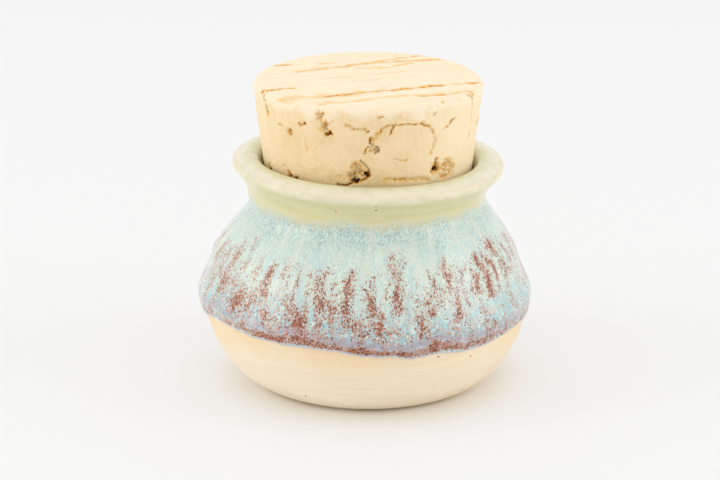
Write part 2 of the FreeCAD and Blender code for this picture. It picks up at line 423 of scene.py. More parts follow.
pick = np.random.default_rng(11)
back_turns = 82 + np.arange(36) * 5.6 + pick.uniform(-2, 2, 36)
back_tops = pick.uniform(35, 41.5, 36)
back_streaks = np.stack([back_turns, back_tops, back_turns + pick.uniform(-3, 3, 36),
                         pick.uniform(25, 33, 36), pick.uniform(0.7, 1.9, 36),
                         pick.uniform(0.6, 1.1, 36)], 1)
back_gaps = np.stack([back_turns + 2.8, pick.uniform(32, 39, 36), back_turns + 2.8,
                      pick.uniform(23.5, 30, 36), pick.uniform(0.6, 1.5, 36),
                      pick.uniform(0.6, 1.1, 36)], 1)

columns = 448
around = np.arange(columns) * 2 * np.pi / columns
azimuth = (np.degrees(around) + 90 + 180) % 360 - 180
line_height = round_line(azimuth, line_places, 5.0)
line_height = line_height + 0.10 * ripple(np.cos(around) * 40, np.sin(around) * 40, 0, 5.0, 21)
line_at = station(line_height)
bead_turn = np.radians(np.linspace(-40, 90, 11))[:, None]
bead_width = 0.6
bead_height = 0.72 + 0.07 * ripple(np.cos(around) * 40, np.sin(around) * 40, 0, 12, 22)
low_rise = math.sin(math.radians(40))
bead_s = line_at + bead_width * (1 - np.cos(bead_turn))
bead_h = bead_height * (np.sin(bead_turn) + low_rise) / (1 + low_rise)
share = np.linspace(0, 1, 113)[1:, None]
wall_s = line_at + bead_width + (crest_at - line_at - bead_width) * share
wall_h = glaze_thickness + (bead_height - glaze_thickness) * np.exp(
    -(wall_s - line_at - bead_width) / 5.0)
pool_height = skin(wall_s, 0)[1]
wall_h = wall_h + (0.72 - 0.28 * np.cos(around)) * np.exp(-((pool_height - 48.0) / 2.3) ** 2)
throat_s = np.concatenate([crest_at + np.linspace(0.5, 7, 13), np.linspace(
    crest_at + 9, floor_at - 1.5, 15)])[:, None] + 0 * line_at
throat_h = np.full_like(throat_s, glaze_thickness)
back_s = np.concatenate([throat_s[::-2], wall_s[::-3], bead_s[-1:] + 0.1, bead_s[:1] + 0.25])
back_h = np.full_like(back_s, -0.25)
s = np.concatenate([back_s, bead_s, wall_s, throat_s])
h = np.concatenate([back_h, bead_h, wall_h, throat_h])
turn = np.broadcast_to(around, s.shape)
sway = 0.035 * ripple(np.cos(turn) * 36, np.sin(turn) * 36, s * 0.5, 6, 23)
outer = (h > 0) & (s < crest_at - 2)
r, z = skin(s, h - glaze_thickness + np.where(outer, sway, 0))
on_wall = s < crest_at
above = np.where(on_wall, s - line_at, 60.0)
bearing = np.broadcast_to(azimuth, s.shape)
outside_z = np.where(on_wall, z, 90.0)
cx, cy = np.cos(turn) * 36, np.sin(turn) * 36
patchy = ripple(cx, cy, s * 0.35, 5.0, 31)
patchy_fine = ripple(cx, cy, s * 0.4, 2.0, 32)
every_streak = np.concatenate([rust_streaks, back_streaks])
rust = 0.92 * streaks(bearing, outside_z, r, every_streak, 1.2)
wide = every_streak * np.array([1, 1, 1, 1, 3.0, 0.55])
rust = np.maximum(rust, streaks(bearing, outside_z, r, wide, 2.0))
rust = rust * (1 + 0.22 * patchy_fine + 0.12 * patchy)
crowding = round_line(azimuth, crowd_places, 12.0)
banding = round_line(azimuth, band_places, 12.0)
crowd_reach = 5.0 + 7.0 * crowding
crowd = crowding * ease(-above, -crowd_reach - 5.0, -crowd_reach + 1.0) * (0.85 + 0.2 * patchy)
dusting = round_line(azimuth, dust_places, 12.0)
scatter = 0.52 * ease(-outside_z, -41.0, -35.0) * (0.8 + 0.4 * patchy) * dusting
rust = np.maximum(np.maximum(rust, crowd), scatter) + 0.3 * np.minimum(rust, crowd)
gaps = streaks(bearing, outside_z, r, np.concatenate([pale_runs, back_gaps]), 1.0)
rust = 0.94 * np.maximum(rust, 0) ** 0.88 * (1 - 0.68 * np.clip(gaps, 0, 1))
wander = 0.35 * ripple(cx, cy, 0, 7.0, 33) + 0.2 * ripple(cx, cy, 0, 2.5, 34)
lilac = ease(above, 2.4 + wander, 3.0 + wander) * (1 - ease(above, 3.4 + wander, 5.4 + wander))
lilac = lilac * (0.45 + 0.55 * banding)
heavy = ease(above, 0.5 + 0.3 * wander, 1.1 + 0.3 * wander) * (
    1 - ease(above, 1.9 + wander, 2.9 + wander))
heavy = np.clip(heavy * (0.9 + 0.12 * patchy_fine + 0.1 * patchy), 0, 1) * banding
rust = np.clip(rust * (1 - 0.2 * lilac) + heavy * 0.6, 0, 1.1) * ease(above, 0.3, 0.9)

glaze, tree, shader = new_finish("run_glaze")
flow = read(tree, "flow").outputs["Vector"]
arc = read(tree, "arc").outputs["Fac"]
rusty = read(tree, "rust").outputs["Fac"]
violet = read(tree, "lilac").outputs["Fac"]
banded = read(tree, "band").outputs["Fac"]
above_line = read(tree, "above").outputs["Fac"]
teeth = grain(tree, flow, 0.6, (1, 1, 3.0), 2.0, 0.6)
drift = grain(tree, flow, 9.0, (1, 1, 1.5), 2.0)
down = sums(tree, "ADD", arc, sums(tree, "MULTIPLY", sums(tree, "SUBTRACT", drift, 0.5), 5.0))
ragged = sums(tree, "ADD", down, sums(tree, "MULTIPLY", sums(tree, "SUBTRACT", teeth, 0.5), 9.0))
fibre = grain(tree, flow, 0.5, (1, 1, 1.5), 1.0, 0.5)
pool = grain(tree, flow, 4.0, (1, 1, 1.8), 3.0, 0.6)
milky = mixed(tree, step(tree, fibre, 0.3, 0.7), paint(216, 231, 219), paint(195, 213, 203))
veil = grain(tree, flow, 2.4, (1, 1, 5.0), 2.0, 0.5)
milky = mixed(tree, step(tree, veil, 0.5, 0.68, 0.0, 0.5), milky, paint(225, 232, 215))
hair = grain(tree, flow, 1.3, (1, 1, 6.0), 2.0, 0.5)
milky = mixed(tree, step(tree, hair, 0.52, 0.68, 0.0, 0.6), milky, paint(186, 209, 214))
fleck = grain(tree, flow, 0.42, (1, 1, 1.6), 2.0, 0.6)
blue = mixed(tree, step(tree, fleck, 0.40, 0.62), paint(211, 226, 214), paint(164, 189, 187))
top_zone = step(tree, sums(tree, "ADD", arc, sums(tree, "MULTIPLY", pool, 12.0)), 22.0, 31.0,
                1.0, 0.0)
body = mixed(tree, top_zone, milky, blue)
cream_patch = step(tree, grain(tree, flow, 3.4, (1, 1, 2.0), 3.0), 0.5, 0.68, 0.0, 0.5)
body = mixed(tree, cream_patch, body, paint(222, 222, 208))
near_line = step(tree, above_line, 2.0, 14.0, 1.0, 0.0)
murky = read(tree, "murk").outputs["Fac"]
body = mixed(tree, sums(tree, "MULTIPLY", near_line, murky), body, paint(174, 180, 178))
body = mixed(tree, sums(tree, "MULTIPLY", step(tree, rusty, 0.1, 0.9), 0.55), body,
             paint(192, 184, 178))
low_blue = sums(tree, "MULTIPLY", step(tree, above_line, 5.0, 15.0, 1.0, 0.0),
                step(tree, grain(tree, flow, 1.0, (1, 1, 1.8), 2.0), 0.47, 0.57, 0.0, 0.95))
body = mixed(tree, low_blue, body, paint(160, 204, 212))
low_white = sums(tree, "MULTIPLY", step(tree, above_line, 5.0, 15.0, 1.0, 0.0),
                 step(tree, grain(tree, flow, 0.9, (1, 1, 1.5), 1.0), 0.56, 0.66, 0.0, 0.8))
body = mixed(tree, low_white, body, paint(216, 234, 230))
# The olive ramp follows the arc down from the crest, shifted at the sides as a painted reflection.
arc_with_side_reflection = read(tree, "arc_with_side_reflection").outputs["Fac"]
olive = add(tree, "ShaderNodeValToRGB", {"Fac": sums(tree, "DIVIDE", arc_with_side_reflection, 20.0)})
stops = [(0.0, (220, 218, 180)), (1.5, (227, 225, 195)), (2.6, (230, 227, 203)),
         (3.5, (233, 228, 208)), (4.2, (232, 223, 200)), (4.9, (231, 218, 190)),
         (5.6, (228, 219, 190)), (6.4, (226, 219, 188)), (7.3, (224, 218, 184)),
         (7.75, (217, 210, 160)), (8.5, (220, 213, 163)), (10.0, (220, 213, 169)),
         (11.2, (221, 213, 167)), (12.3, (216, 210, 160)), (14.0, (222, 212, 165)),
         (16.0, (216, 206, 160))]
for place, colour in stops:
    made = olive.color_ramp.elements.new(place / 20)
    made.color = paint(*colour)
olive.color_ramp.elements.remove(olive.color_ramp.elements[-1])
olive.color_ramp.elements.remove(olive.color_ramp.elements[0])
blotch = grain(tree, flow, 2.6, (1.6, 1.6, 1), 3.0, 0.6)
olives = mixed(tree, step(tree, blotch, 0.47, 0.66, 0.0, 0.4), olive.outputs["Color"],
               paint(208, 206, 160))
pale_lip = sums(tree, "MULTIPLY", step(tree, blotch, 0.46, 0.30, 0.0, 0.5), step(tree, arc, 7.6, 6.6))
olives = mixed(tree, pale_lip, olives, paint(240, 232, 212))
ridges = grain(tree, flow, 1.5, (9, 9, 0.7), 2.0)
olives = mixed(tree, sums(tree, "MULTIPLY", step(tree, ridges, 0.5, 0.66, 0.0, 0.22),
                          step(tree, arc, 7.0, 8.5)), olives, paint(204, 194, 140))
misty = mixed(tree, step(tree, down, 12.6, 15.5, 0.0, 0.35), olives, paint(200, 212, 196))
frost = sums(tree, "MULTIPLY", step(tree, down, 12.6, 14.6),
             step(tree, grain(tree, flow, 0.45, (1, 1, 3.0), 1.0), 0.5, 0.62, 0.0, 0.75))
misty = mixed(tree, frost, misty, paint(204, 218, 208))
amber = sums(tree, "MULTIPLY", step(tree, down, 13.6, 15.2),
             step(tree, grain(tree, flow, 0.8, (1, 1, 2.0), 1.0), 0.54, 0.64, 0.0, 0.5))
misty = mixed(tree, amber, misty, paint(200, 176, 136))
body = mixed(tree, step(tree, ragged, 14.4, 16.6), misty, body)
# Inside the lip and down the throat the glaze turns a darker olive: partly the glaze's own colour, partly
# painted shade of the recess.
throat = mixed(tree, step(tree, blotch, 0.42, 0.6), paint(212, 211, 182), paint(196, 198, 160))
body = mixed(tree, step(tree, arc, -0.3, -3.0), body, throat)
body = mixed(tree, sums(tree, "MULTIPLY", violet, 0.7), body, paint(168, 150, 164))
body = mixed(tree, sums(tree, "MULTIPLY", banded, 0.8), body, paint(172, 134, 128))
veins = sums(tree, "MULTIPLY", step(tree, grain(tree, flow, 1.1, (1.8, 1.8, 0.8), 2.0), 0.55, 0.65),
             step(tree, above_line, 4.0, 2.5, 0.0, 0.6))
body = mixed(tree, veins, body, paint(196, 206, 214))
level = sums(tree, "MULTIPLY", sums(tree, "SUBTRACT", grain(tree, flow, 2.2, (1, 1, 2.0), 1.0),
                                    0.5), 0.9)
thick = sums(tree, "ADD", rusty, sums(tree, "MULTIPLY", level, step(tree, rusty, 0.0, 0.3)))
jitter = add(tree, "ShaderNodeTexNoise", {"Vector": flow, "Scale": 2200.0, "Detail": 0.0})
jitter = add(tree, "ShaderNodeVectorMath", {0: jitter.outputs["Color"], 1: (0.5, 0.5, 0.5)},
             operation="SUBTRACT")
for size, tall, share, tint, core in ((0.56, 1.4, 0.70, (207, 162, 140), (188, 128, 102)),
                                      (0.34, 1.2, 0.85, (196, 141, 113), (154, 91, 61)),
                                      (0.46, 1.3, 0.95, (173, 103, 71), (124, 60, 32))):
    place = add(tree, "ShaderNodeVectorMath", {0: flow, 1: (1000 / size, 1000 / size,
                                                            1000 / size / tall)},
                operation="MULTIPLY")
    place = add(tree, "ShaderNodeVectorMath", {0: jitter.outputs[0], 1: (0.9, 0.9, 0.9),
                                               2: place.outputs[0]}, operation="MULTIPLY_ADD")
    dots = add(tree, "ShaderNodeTexVoronoi", {"Vector": place.outputs[0], "Scale": 1.0})
    chance = add(tree, "ShaderNodeSeparateColor", {0: dots.outputs["Color"]})
    kept = step(tree, sums(tree, "SUBTRACT", thick, chance.outputs[0]), -0.04, 0.10)
    reach = add(tree, "ShaderNodeMapRange", {"Value": thick, "From Min": 0.0, "From Max": 1.0,
                                             "To Min": 0.34, "To Max": 0.60}).outputs[0]
    dot = step(tree, sums(tree, "SUBTRACT", reach, dots.outputs["Distance"]), -0.08, 0.12)
    dot = sums(tree, "MULTIPLY", sums(tree, "MULTIPLY", dot, kept), share)
    darker = sums(tree, "ADD", sums(tree, "MULTIPLY", thick, 0.6), chance.outputs[1])
    darker = sums(tree, "ADD", darker, sums(tree, "MULTIPLY", sums(tree, "SUBTRACT", murky, 0.8), 0.6))
    body = mixed(tree, dot, body, mixed(tree, step(tree, darker, 0.5, 1.3), paint(*tint),
                                        paint(*core)))
solid = add(tree, "ShaderNodeTexCoord").outputs["Object"]
body = spots(tree, body, solid, [
    ((-7.8, -29.95, 52.1), 0.36, (214, 156, 84)), ((1.8, -32.87, 54.3), 0.3, (168, 160, 130)),
    ((1.8, -31.8, 52.9), 0.34, (140, 134, 96))])
rim = step(tree, above_line, 0.25, 0.8, 1.0, 0.0)
body = mixed(tree, sums(tree, "MULTIPLY", rim, 0.8), body, paint(200, 194, 204))
tree.links.new(body, shader.inputs["Base Color"])
shader.inputs["Roughness"].default_value = 0.22
shader.inputs["Specular IOR Level"].default_value = 0.5
skin_bump = grain(tree, flow, 1.6, (1, 1, 1.6), 2.0)
bump = add(tree, "ShaderNodeBump", {"Height": skin_bump, "Strength": 0.18, "Distance": 0.0001})
tree.links.new(bump.outputs[0], shader.inputs["Normal"])

x, y, z = settle(r * np.cos(turn), r * np.sin(turn), z)
glaze_coat = turned_mesh("glaze_coat", np.stack([x, y, z], -1), (0, 0, 4.4), (0, 0, 5.0), glaze)


def spread_on(values, first, last):
    """The values of a grid in the order of its mesh: row by row, then its two end points."""
    return np.concatenate([values.reshape(-1), [first, last]])


arc_down = crest_at - s
give(glaze_coat, "arc", spread_on(arc_down, -60, -60))
# Painted reflection: at the left and right sides, as the camera sees them, the colour bands of the neck
# move up to 1.3 mm towards the lip, standing in for the pale rim the white surround reflects there at
# grazing angles.
side_reflection_arc = arc_down + 1.3 * np.sin(np.radians(bearing)) ** 2 * ease(arc_down, 4, 7)
give(glaze_coat, "arc_with_side_reflection", spread_on(side_reflection_arc, -60, -60))
give(glaze_coat, "rust", spread_on(rust, 0, 0))
give(glaze_coat, "lilac", spread_on(lilac, 0, 0))
give(glaze_coat, "band", spread_on(heavy, 0, 0))
give(glaze_coat, "above", spread_on(above, 60, 60))
murk = np.broadcast_to(round_line(azimuth, murk_places, 14.0), s.shape)
give(glaze_coat, "murk", spread_on(murk, 0, 0))
flowing = np.stack([spread_on(cx, 0, 0), spread_on(cy, 0, 0), spread_on(s, 60, 60)], 1) * 0.001
give(glaze_coat, "flow", flowing)
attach(glaze_coat, "root")


# --- The cork stopper ---
# A truncated cone cut from natural cork bark and sanded, pressed into the throat. The bark's
# growth layers run across its top as cracks, and its pores and woody pits open on its side,
# lined with darker grey-brown fibres.

# Pits on the side: azimuth, height, half width, half height, turn in degrees, depth, darkness.
side_pits = [
    (-62, 73.1, 0.6, 1.9, -12, 1.0, 0.8), (-24.5, 74.6, 1.1, 1.5, 25, 0.8, 0.40),
    (-22.0, 71.9, 1.0, 1.7, 30, 0.9, 0.45), (-20.0, 70.2, 0.9, 0.9, 30, 1.1, 0.95),
    (-43.7, 69.0, 0.85, 1.1, 0, 1.0, 0.75), (-50, 70.1, 0.4, 0.65, 0, 0.7, 0.6),
    (-34.3, 71.9, 0.5, 0.4, 0, 0.9, 0.95), (-36.4, 71.5, 1.0, 0.45, 8, 0.6, 0.5),
    (-0.6, 71.4, 0.5, 0.4, 0, 1.0, 1.0), (5.4, 74.7, 0.75, 0.45, 10, 0.6, 0.6),
    (34.7, 74.4, 1.0, 0.4, -22, 0.6, 0.6), (46.5, 71.6, 1.3, 0.45, -35, 0.8, 0.6),
    (42.5, 70.2, 1.0, 0.4, -12, 0.6, 0.5), (65, 65.8, 0.4, 0.8, 0, 0.8, 0.7),
    (41.5, 77.2, 0.7, 0.5, 0, 0.6, 0.6),
    (2.9, 66.4, 1.2, 0.8, 0, 1.0, 0.42),
    (-5.4, 61.4, 1.9, 2.0, 0, 1.2, 0.42), (-7.6, 59.7, 1.6, 1.3, 20, 1.2, 0.45),
    (-0.6, 60.2, 0.85, 0.95, 10, 1.6, 1.2), (-7.0, 58.4, 1.4, 0.6, -10, 1.4, 1.2),
    (-14.5, 59.3, 1.4, 0.9, 0, 0.3, 0.10),
    (37.5, 60.2, 1.4, 1.2, 20, 1.7, 1.1), (38.3, 61.8, 0.55, 1.3, 0, 1.4, 0.9),
    (45.5, 60.3, 2.0, 1.7, -25, 0.9, 0.42), (45.0, 58.1, 2.0, 1.6, 10, 0.8, 0.36),
    (50.0, 59.0, 1.4, 2.0, 0, 0.8, 0.38),
    (-47.2, 57.5, 0.9, 0.9, 15, 1.2, 1.1), (-41.5, 57.0, 1.1, 0.9, 12, 1.1, 0.9),
    (-67.5, 57.0, 0.9, 1.4, 0, 1.3, 1.15), (-50.4, 59.8, 0.4, 0.5, 0, 0.7, 0.6)]

# Grooves on the side: half width, depth, darkness, and points (azimuth, height).
side_grooves = [
    (0.32, 0.55, 0.35, [(-11.8, 72.7), (-9.5, 72.8), (-6.4, 71.9), (-0.5, 71.5)]),
    (0.34, 0.50, 0.25, [(2.2, 67.0), (3.0, 69.4), (6.8, 72.2), (9.5, 72.7)]),
    (0.22, 0.40, 0.55, [(9.5, 72.6), (12.8, 72.6), (20.0, 72.4), (27.0, 72.2)]),
    (0.45, 0.55, 0.60, [(27.0, 72.2), (29.5, 71.6), (31.0, 71.5)]),
    (0.28, 0.40, 0.25, [(31.0, 71.5), (33.8, 69.8), (36.7, 67.3), (35.9, 65.4), (34.1, 64.4)]),
    (0.30, 0.50, 0.75, [(12.6, 72.4), (10.8, 71.2), (10.2, 70.3)]),
    (0.26, 0.60, 0.75, [(2.1, 69.6), (1.7, 68.6), (3.2, 67.9), (5.4, 67.3),
                        (6.0, 66.4), (3.6, 65.4)]),
    (0.28, 0.50, 0.75, [(0.8, 67.4), (-0.9, 66.4), (-1.3, 65.4)]),
    (0.26, 0.80, 0.80, [(-16.8, 57.3), (-10.0, 57.7), (-6.5, 58.1), (-0.9, 59.2), (0.2, 60.4)]),
    (0.20, 0.60, 0.60, [(0.2, 60.4), (-1.8, 62.2), (-4.4, 63.6)]),
    (0.22, 0.70, 0.70, [(-5.0, 60.8), (-4.0, 59.8), (-2.2, 59.6)]),
    (0.16, 0.30, 0.35, [(13.8, 63.7), (21.5, 63.5)]),
    (0.60, 0.30, 0.10, [(8.4, 58.4), (16.0, 58.7), (24.0, 58.3), (32.3, 57.7)]),
    (0.24, 0.40, 0.50, [(11.0, 58.7), (20.0, 58.8), (28.0, 58.5)]),
    (0.20, 0.25, 0.15, [(-33.2, 68.0), (-33.0, 65.5)]),
    (0.25, 0.45, 0.40, [(60.5, 76.2), (64.0, 75.0), (65.0, 72.0), (66.0, 69.5)]),
    (0.25, 0.40, 0.40, [(-64.5, 76.3), (-63.8, 74.6)])]

# Cracks across the top: half width, depth, strength of the dark core, and points (x, y).
top_cracks = [
    (0.95, 0.20, 0.15, [(-24.0, -19.4), (-16.3, -17.1), (-6.5, -14.8), (-2.4, -12.9)]),
    (0.40, 0.60, 0.85, [(-10.0, -15.7), (-6.5, -14.6), (-2.4, -12.9), (5.3, -10.2), (13.4, -7.4)]),
    (0.46, 0.60, 1.1, [(15.2, -6.4), (18.8, -5.5)]),
    (0.38, 0.50, 0.7, [(18.8, -5.5), (28.0, -2.6)]),
    (0.38, 0.50, 0.9, [(-28.0, -11.2), (-25.2, -10.6), (-21.4, -9.2), (-18.2, -8.3)]),
    (0.40, 0.40, 0.6, [(-23.2, 13.3), (-19.5, 14.3)]),
    (0.42, 0.35, 0.32, [(-17.4, 7.3), (-11.2, 10.6), (-0.8, 15.5), (6.3, 19.6), (13.4, 23.5)]),
    (0.42, 0.35, 0.45, [(-6.7, 12.2), (3.3, 16.3), (10.8, 18.0), (18.1, 19.6)]),
    (0.42, 0.30, 0.28, [(-3.3, 10.6), (4.2, 11.4), (10.8, 15.5)]),
    (0.26, 0.25, 0.35, [(-12.0, 15.5), (-8.0, 15.8)]),
    (0.36, 0.35, 0.45, [(11.6, -15.5), (18.5, -14.1), (23.0, -11.7), (26.0, -12.0)]),
    (0.50, 0.20, 0.10, [(-12.7, -21.6), (-3.2, -21.0), (-0.8, -18.6), (5.5, -16.3), (12, -14.6)]),
    (0.30, 0.20, 0.35, [(-11.7, -23.9), (-8.8, -22.3)]),
    (0.22, 0.20, 0.20, [(0.6, -1.0), (2.8, -0.6)]), (0.22, 0.20, 0.25, [(2.5, -8.4), (4.6, -7.8)]),
    (0.22, 0.20, 0.15, [(-12.0, 0.5), (0.0, 4.2), (9.0, 7.2)])]

edge_round = 1.2
side_run = math.hypot(cork_top - cork_bottom, 4.5)
columns = 540
around = np.arange(columns) * 2 * np.pi / columns
top_rows = np.arange(0.6, cork_radius - edge_round * 1.12 - 0.1, 0.42)
side_down = np.concatenate([np.arange(edge_round + 0.25, 26.5, 0.30),
                            np.arange(27.0, side_run - edge_round, 1.3)])
low_rows = np.arange(23.2, 0.5, -3.2)
corner = np.radians(np.linspace(90, -7, 7))
foot_corner = np.radians(np.linspace(-7, -90, 4))
low_radius = cork_radius - cone_narrowing
rows_r = np.concatenate([
    top_rows, cork_radius - edge_round * 1.12 + edge_round * np.cos(corner),
    cork_radius - side_down * 4.5 / side_run,
    low_radius - edge_round + edge_round * np.cos(foot_corner), low_rows])
rows_z = np.concatenate([
    np.full(len(top_rows), cork_top), cork_top - edge_round + edge_round * np.sin(corner),
    cork_top - side_down * (cork_top - cork_bottom) / side_run,
    cork_bottom + edge_round + edge_round * np.sin(foot_corner),
    np.full(len(low_rows), cork_bottom)])
facing = np.where(np.arange(len(rows_r))[:, None] < len(top_rows), 1.0, 0.0)
turn, r = np.meshgrid(around, rows_r)
z = np.broadcast_to(rows_z[:, None], r.shape).copy()
x, y = r * np.cos(turn), r * np.sin(turn)
bearing = (np.degrees(turn) + 90 + 180) % 360 - 180


def segments(u, v, points):
    """Distance from each (u, v) to a run of straight lines through points."""
    nearest = np.full(u.shape, 1e9)
    for (a, b), (c, d) in zip(points[:-1], points[1:]):
        t = np.clip(((u - a) * (c - a) + (v - b) * (d - b)) / ((c - a) ** 2 + (d - b) ** 2), 0, 1)
        nearest = np.minimum(nearest, np.hypot(u - a - t * (c - a), v - b - t * (d - b)))
    return nearest


warp_u = 0.22 * ripple(x, y, z, 1.8, 41) + 0.12 * ripple(x, y, z, 0.9, 42)
warp_v = 0.22 * ripple(x, y, z, 1.8, 43) + 0.12 * ripple(x, y, z, 0.9, 44)
wave_u = 0.20 * ripple(x, y, z, 5.0, 50) + 0.05 * ripple(x, y, z, 1.3, 51)
wave_v = 0.20 * ripple(x, y, z, 5.0, 52) + 0.05 * ripple(x, y, z, 1.3, 53)
side_r = 27.0
across = np.radians(bearing) * side_r + warp_u
up = z + warp_v
pit = np.zeros_like(r)
halo = np.zeros_like(r)
sunk = np.zeros_like(r)
pick = np.random.default_rng(17)
pits = list(side_pits)
for _ in range(44):
    half = pick.uniform(0.3, 1.25) ** 1.3
    pits.append((pick.uniform(76, 286), pick.uniform(53, 76), half, half * pick.uniform(0.4, 1.3),
                 pick.uniform(-40, 40), pick.uniform(0.5, 1.2), pick.uniform(0.2, 0.9)))
side_face = 1 - facing
for azimuth, tall, half_u, half_v, lean, deep, dark in pits:
    du = (across - math.radians(azimuth) * side_r + math.pi * side_r) % (2 * math.pi * side_r)
    du = du - math.pi * side_r
    dv = up - tall
    c, d = math.cos(math.radians(lean)), math.sin(math.radians(lean))
    reach = np.hypot((du * c - dv * d) / half_u, (du * d + dv * c) / half_v)
    inside = ease(-reach, -1.15, -0.45) * side_face
    sunk = np.maximum(sunk, inside * deep * 0.75)
    pit = np.maximum(pit, ease(-reach, -1.1, -0.3) * dark * side_face)
    halo = np.maximum(halo, ease(-reach, -1.6, -0.8) * (0.35 + 0.5 * dark) * side_face)
for half, deep, dark, points in side_grooves:
    run = [(math.radians(a) * side_r, b) for a, b in points]
    away = segments(np.radians(bearing) * side_r + wave_u, z + wave_v, run) / half
    sunk = np.maximum(sunk, ease(-away, -1.4, -0.2) * deep * side_face)
    pit = np.maximum(pit, ease(-away, -1.2, -0.2) * dark * side_face)
    halo = np.maximum(halo, ease(-away, -2.6, -0.6) * 0.5 * side_face)
crack = np.zeros_like(r)
golden = np.zeros_like(r)
over = np.where(np.arange(len(rows_r))[:, None] < len(top_rows) + 5, 1.0, 0.0)
for half, deep, dark, points in top_cracks:
    vary = 1 + 0.3 * ripple(x, y, z, 4.0, 45)
    away = segments(x + 0.3 * wave_u, y + 0.3 * wave_v, points) / (half * np.maximum(vary, 0.3))
    sunk = np.maximum(sunk, ease(-away, -1.4, -0.2) * deep * 0.6 * facing)
    crack = np.maximum(crack, ease(-away, -1.4, -0.3) * dark * over)
    golden = np.maximum(golden, ease(-away, -3.0, -0.8) * min(0.45 + 0.5 * dark, 0.95) * over)

# The pale tone of the top runs 0.8 to 4 mm down the side along a ragged edge: partly wear of the rim,
# partly a painted highlight along the top edge.
rim_wear_and_highlight = 1.1 * ripple(x, y, z, 6.0, 54) + 0.5 * ripple(x, y, z, 1.5, 55)
topmost_share = ease(z, cork_top - 4.0 + rim_wear_and_highlight, cork_top - 0.8 + 0.4 * rim_wear_and_highlight)
soft = 0.05 * ripple(x, y, z, 6.0, 46) + 0.03 * ripple(x, y, z, 1.6, 47)
crumb = 0.25 * np.maximum(ripple(x, y, z, 2.2, 48), 0) * ease(np.abs(r - cork_radius), 1.2, 0.2)
crumb = crumb * ease(z, cork_top - 1.6, cork_top - 0.3)
sunk = sunk + 0.25 * (sunk > 0.05) * ripple(x, y, z, 0.8, 49) * np.minimum(sunk, 1)
shrink = np.maximum(sunk, 0) + crumb + soft * ease(z, 55, 59)
z = z - shrink * facing
r = r - shrink * side_face * (z > 51)
x, y = r * np.cos(turn), r * np.sin(turn)

cork, tree, shader = new_finish("natural_cork")
where = add(tree, "ShaderNodeTexCoord").outputs["Object"]
pitted = read(tree, "pit").outputs["Fac"]
haloed = read(tree, "halo").outputs["Fac"]
topmost = read(tree, "topmost").outputs["Fac"]
turned = add(tree, "ShaderNodeVectorRotate", {"Vector": where, "Angle": math.radians(-20)},
             rotation_type="Z_AXIS").outputs[0]
cells = grain(tree, where, 0.9, (1, 1, 1), 3.0, 0.6)
cloud = grain(tree, where, 7.0, (1, 1, 1), 3.0, 0.5)
sanded = grain(tree, where, 2.2, (0.5, 0.5, 9.0), 2.0)
layers = grain(tree, turned, 2.6, (7.0, 0.45, 1.0), 3.0, 0.55)
grit = grain(tree, where, 0.55, (1, 1, 1), 1.0)
side_tone = mixed(tree, step(tree, cloud, 0.38, 0.62), paint(240, 213, 168), paint(233, 205, 156))
side_tone = mixed(tree, step(tree, sanded, 0.42, 0.62, 0.0, 0.25), side_tone, paint(245, 222, 184))
top_tone = mixed(tree, step(tree, layers, 0.5, 0.68, 0.0, 0.45), paint(249, 231, 201),
                 paint(243, 214, 168))
axes = add(tree, "ShaderNodeSeparateXYZ", {0: where})
# Painted sheen: the side is paler towards +x, from 2 to 22 mm, and less so towards -x past -18 mm,
# standing in for the haze a rough surface shows at grazing angles.
painted_side_sheen = sums(tree, "MAXIMUM", step(tree, axes.outputs["X"], 0.002, 0.022, 0.0, 0.8),
                 step(tree, axes.outputs["X"], -0.018, -0.027, 0.0, 0.5))
side_tone = mixed(tree, painted_side_sheen, side_tone, paint(246, 226, 190))
tone = mixed(tree, topmost, side_tone, top_tone)
tone = mixed(tree, step(tree, cells, 0.42, 0.72, 0.0, 0.3), tone, paint(248, 229, 196))
tone = mixed(tree, step(tree, cells, 0.42, 0.25, 0.0, 0.3), tone, paint(226, 193, 140))
rag = sums(tree, "MULTIPLY", sums(tree, "SUBTRACT", cells, 0.5), 1.2)
rag = sums(tree, "ADD", rag, sums(tree, "MULTIPLY", sums(tree, "SUBTRACT", grit, 0.5), 1.3))
nicks = sums(tree, "MULTIPLY", rag, 0.6)
golden_share = sums(tree, "MULTIPLY", step(tree, read(tree, "golden").outputs["Fac"], 0.0, 1.0),
                    step(tree, cells, 0.3, 0.6, 0.55, 1.0))
tone = mixed(tree, golden_share, tone, paint(242, 184, 84))
cracked = read(tree, "crack").outputs["Fac"]
core = sums(tree, "MULTIPLY", step(tree, cracked, 0.0, 0.2), sums(tree, "ADD", cracked, nicks))
tone = mixed(tree, step(tree, core, 0.15, 0.75, 0.0, 0.95), tone, paint(216, 130, 16))
tone = mixed(tree, step(tree, core, 0.85, 1.1, 0.0, 0.95), tone, paint(100, 44, 0))
near_pit = step(tree, haloed, 0.02, 0.22)
in_pit = step(tree, pitted, 0.02, 0.2)
edge = sums(tree, "MULTIPLY", sums(tree, "ADD", haloed, rag), near_pit)
pit_depth = sums(tree, "MULTIPLY", sums(tree, "ADD", pitted, rag), in_pit)
tone = mixed(tree, step(tree, edge, 0.25, 0.6, 0.0, 0.8), tone, paint(234, 190, 112))
tone = mixed(tree, step(tree, pit_depth, 0.26, 0.42, 0.0, 0.9), tone, paint(206, 144, 50))
tone = mixed(tree, step(tree, pit_depth, 0.56, 0.72, 0.0, 0.9), tone, paint(140, 84, 18))
fibres = grain(tree, where, 0.7, (1, 1, 2.4), 1.0)
woody = 0.15
for place in ((-0.0026, -0.026, 0.0608), (0.0014, -0.0266, 0.0664), (-0.0105, -0.0250, 0.0738)):
    away = add(tree, "ShaderNodeVectorMath", {0: where, 1: place}, operation="DISTANCE")
    woody = sums(tree, "MAXIMUM", woody, step(tree, away.outputs["Value"], 0.0038, 0.0022, 0.0, 0.9))
